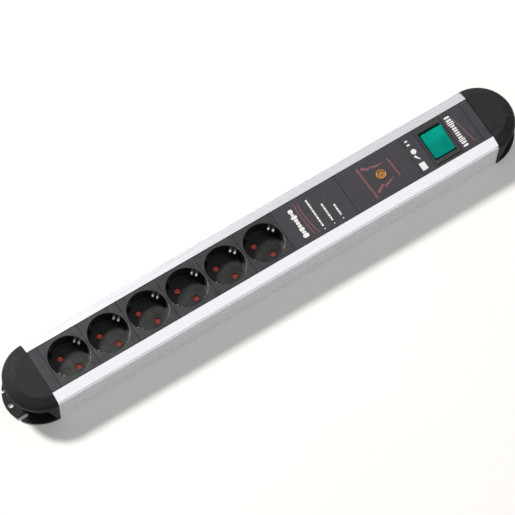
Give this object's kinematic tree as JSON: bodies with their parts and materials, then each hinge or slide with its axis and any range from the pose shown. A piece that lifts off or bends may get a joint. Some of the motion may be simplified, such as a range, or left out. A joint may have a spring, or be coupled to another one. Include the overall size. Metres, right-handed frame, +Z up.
{
  "type": "desk power strip",
  "caption": "Aluminium desk power strip with earthed sockets, surge protection panel, lit rocker switch and domed end caps with fixing feet.",
  "frame": {"origin": "middle of the underside, on the surface the strip stands on", "axes": "+X along the strip from the first socket towards the switch, +Y across it away from the pictured near side, +Z up out of the socket faces"},
  "size_m": [0.558, 0.0696, 0.0448],
  "materials": {
    "anodised_aluminium": "satin, clear anodised, fine draw lines along its length",
    "insert_plastic": "dark grey, fine matt grain",
    "cap_plastic": "near black, fine spark-eroded grain",
    "socket_plastic": "dark grey, satin inside the recess",
    "shutter_plastic": "red orange, satin",
    "tray_plastic": "natural grey",
    "rocker_green": "glossy, slightly translucent",
    "lens_amber": "glossy, translucent",
    "contact_brass": "bright stamped strip",
    "bright_steel": "bright, tin or zinc plated",
    "board_laminate": "green laminate",
    "varistor_coating": "dipped epoxy",
    "lamp_glass": "clear glass over glowing electrodes",
    "gland_rubber": "matt black",
    "wire_brown": "PVC",
    "wire_blue": "PVC",
    "wire_green_yellow": "PVC"
  },
  "bodies": {
    "strip": {"aluminium_channel": "anodised_aluminium", "blank_panel": "insert_plastic", "busbar_tray": "tray_plastic", "cable_gland": "gland_rubber", "cap_screw_left_1": "bright_steel", "cap_screw_left_2": "bright_steel", "cap_screw_right_1": "bright_steel", "cap_screw_right_2": "bright_steel", "earth_busbar": "bright_steel", "end_cap_left": "cap_plastic", "end_cap_right": "cap_plastic", "end_spacer_left": "insert_plastic", "end_spacer_right": "insert_plastic", "indicator_lamp": "lamp_glass", "indicator_lens": "lens_amber", "label_panel": "insert_plastic", "live_busbar": "contact_brass", "neutral_busbar": "contact_brass", "shutter_spring_1": "bright_steel", "shutter_spring_2": "bright_steel", "shutter_spring_3": "bright_steel", "shutter_spring_4": "bright_steel", "shutter_spring_5": "bright_steel", "shutter_spring_6": "bright_steel", "socket_body_1": "socket_plastic", "socket_body_2": "socket_plastic", "socket_body_3": "socket_plastic", "socket_body_4": "socket_plastic", "socket_body_5": "socket_plastic", "socket_body_6": "socket_plastic", "status_panel": "insert_plastic", "surge_circuit_board": "board_laminate", "surge_panel": "insert_plastic", "switch_housing": "insert_plastic", "switch_lamp": "lamp_glass", "switch_terminal_live_inlet": "contact_brass", "switch_terminal_live_outlet": "contact_brass", "switch_terminal_neutral_inlet": "contact_brass", "switch_terminal_neutral_outlet": "contact_brass", "thermal_fuse": "bright_steel", "varistor_1": "varistor_coating", "varistor_2": "varistor_coating", "varistor_3": "varistor_coating", "wire_earth": "wire_green_yellow", "wire_live_inlet": "wire_brown", "wire_live_outlet": "wire_brown", "wire_neutral_inlet": "wire_blue", "wire_neutral_outlet": "wire_blue"},
    "rocker": {"switch_rocker": "rocker_green", "switch_plunger_live": "tray_plastic", "switch_plunger_neutral": "tray_plastic"},
    "levers": {"switch_lever_live": "contact_brass", "switch_lever_neutral": "contact_brass"},
    "shutter_1": {"socket_shutter_1": "shutter_plastic"},
    "shutter_2": {"socket_shutter_2": "shutter_plastic"},
    "shutter_3": {"socket_shutter_3": "shutter_plastic"},
    "shutter_4": {"socket_shutter_4": "shutter_plastic"},
    "shutter_5": {"socket_shutter_5": "shutter_plastic"},
    "shutter_6": {"socket_shutter_6": "shutter_plastic"}
  },
  "joints": [
    {"name": "rocker_tilt", "type": "hinge", "parent": "strip", "child": "rocker", "pos_m": [0.1935, 0, 0.0355], "axis": [1, 0, 0], "range_deg": [-14, 0]},
    {"name": "lever_tip", "type": "hinge", "parent": "strip", "child": "levers", "pos_m": [0.1935, 0, 0.0224], "axis": [1, 0, 0], "range_deg": [0, 12]},
    {"name": "shutter_turn_1", "type": "hinge", "parent": "strip", "child": "shutter_1", "pos_m": [-0.21, 0, 0.02045], "axis": [0, 0, 1], "range_deg": [0, 46], "stiffness_Nm_per_rad": 0.001},
    {"name": "shutter_turn_2", "type": "hinge", "parent": "strip", "child": "shutter_2", "pos_m": [-0.168, 0, 0.02045], "axis": [0, 0, 1], "range_deg": [0, 46], "stiffness_Nm_per_rad": 0.001},
    {"name": "shutter_turn_3", "type": "hinge", "parent": "strip", "child": "shutter_3", "pos_m": [-0.126, 0, 0.02045], "axis": [0, 0, 1], "range_deg": [0, 46], "stiffness_Nm_per_rad": 0.001},
    {"name": "shutter_turn_4", "type": "hinge", "parent": "strip", "child": "shutter_4", "pos_m": [-0.084, 0, 0.02045], "axis": [0, 0, 1], "range_deg": [0, 46], "stiffness_Nm_per_rad": 0.001},
    {"name": "shutter_turn_5", "type": "hinge", "parent": "strip", "child": "shutter_5", "pos_m": [-0.042, 0, 0.02045], "axis": [0, 0, 1], "range_deg": [0, 46], "stiffness_Nm_per_rad": 0.001},
    {"name": "shutter_turn_6", "type": "hinge", "parent": "strip", "child": "shutter_6", "pos_m": [0, 0, 0.02045], "axis": [0, 0, 1], "range_deg": [0, 46], "stiffness_Nm_per_rad": 0.001}
  ],
  "couplings": [
    {"joint": "lever_tip", "follows": "rocker_tilt", "ratio": -0.85714}
  ]
}
